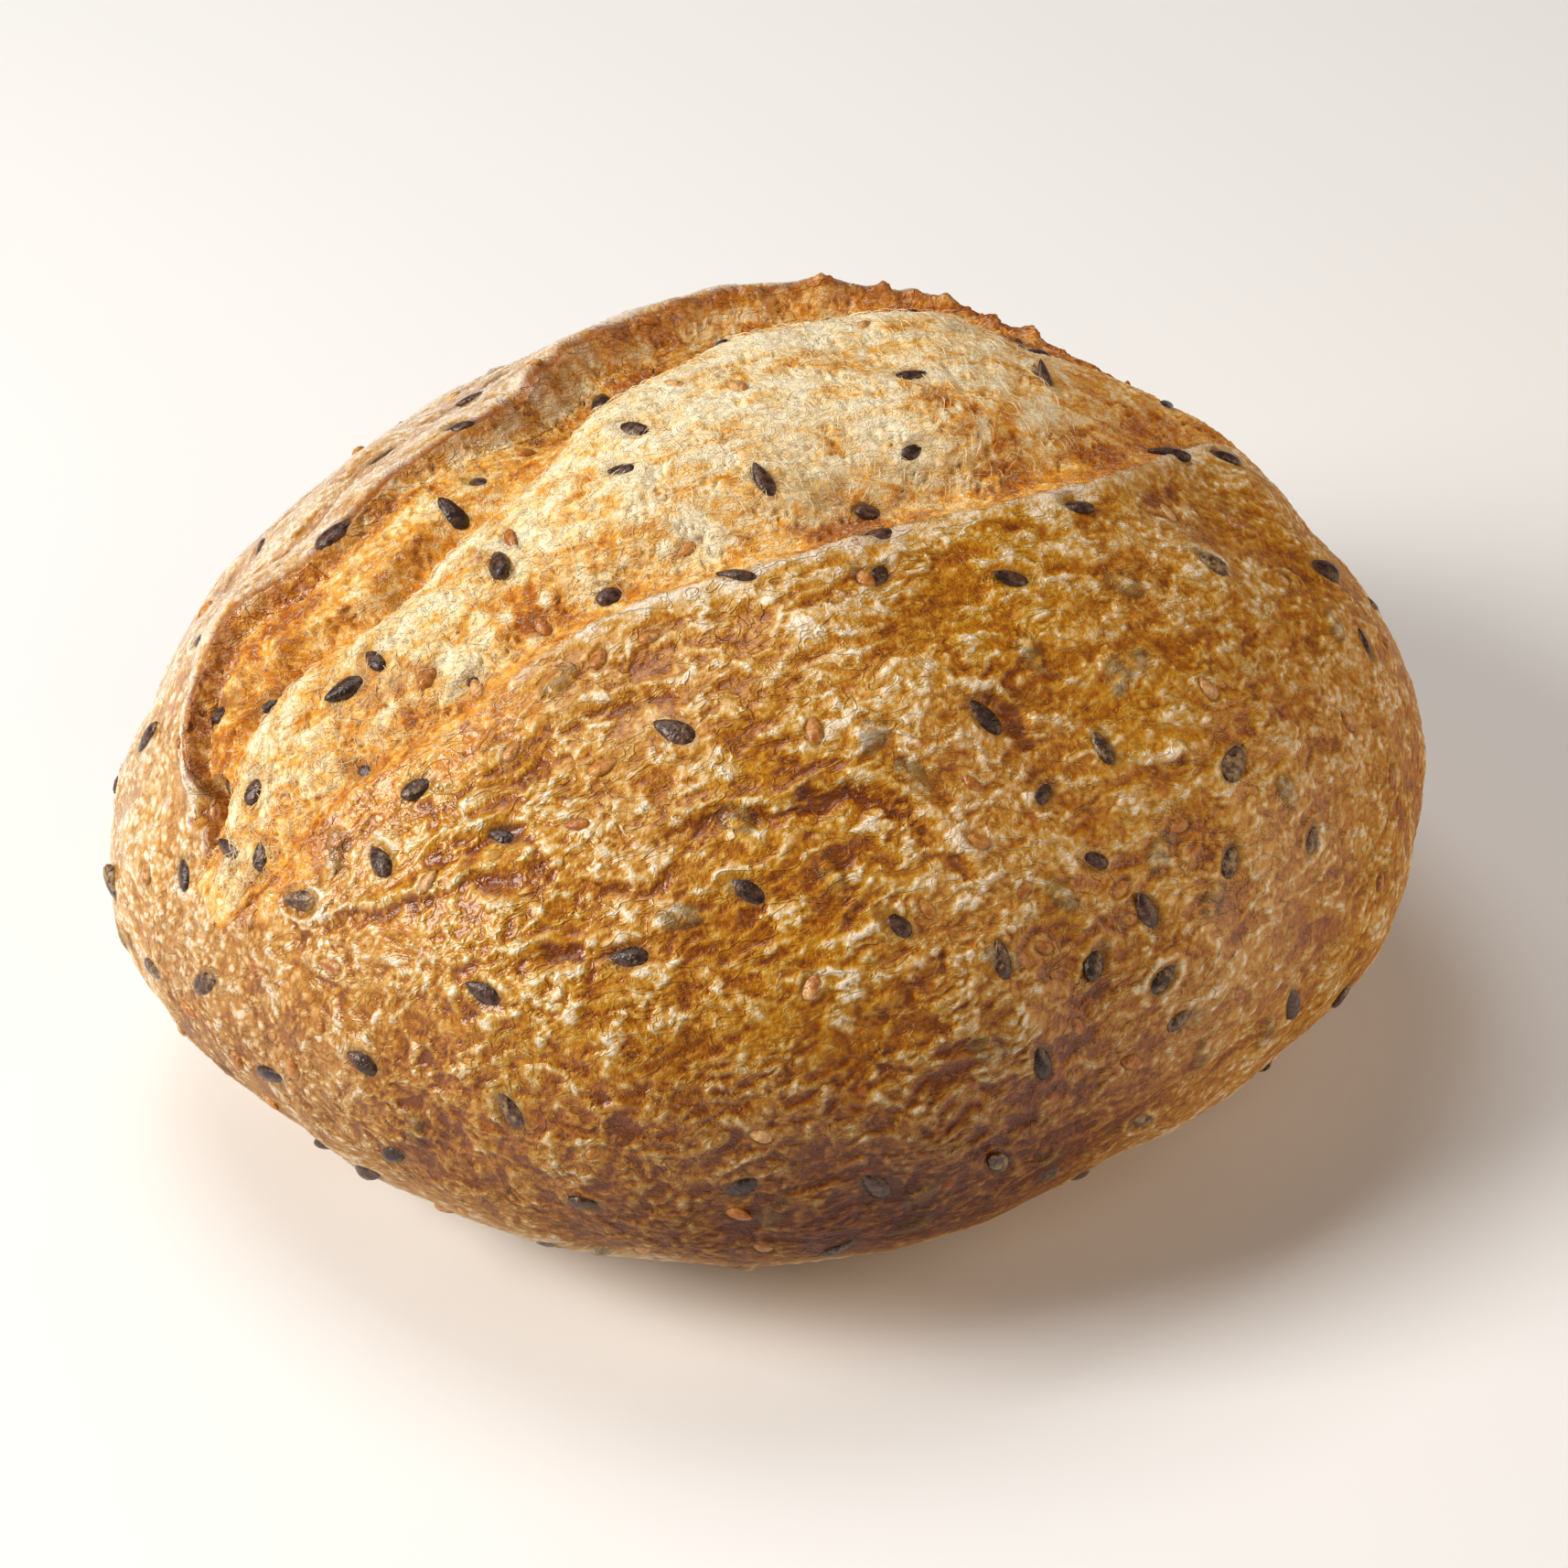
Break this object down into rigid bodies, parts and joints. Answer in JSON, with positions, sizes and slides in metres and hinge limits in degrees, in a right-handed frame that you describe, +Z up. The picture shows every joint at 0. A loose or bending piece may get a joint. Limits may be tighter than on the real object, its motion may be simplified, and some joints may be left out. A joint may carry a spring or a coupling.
{
  "type": "seeded multigrain loaf",
  "caption": "Round-ended crusty loaf split along its top, with a raised ear of crust, risen crumb in the split and seeds baked into the skin.",
  "frame": {"origin": "middle of the flat sole that the loaf rests on", "axes": "+X along the score from its wide torn end to its narrow end, +Y to the back where the ear stands, +Z up"},
  "size_m": [0.1469, 0.1342, 0.0792],
  "materials": {
    "crust": "golden baked crust, finely blistered, with a low sheen",
    "crumb": "torn pale crumb in the split, rough, browned on its high spots",
    "dark_seed": "smooth brown seeds with a soft gloss",
    "golden_seed": "small toasted golden seeds"
  },
  "bodies": {
    "root": {"loaf": "crust"}
  },
  "joints": []
}
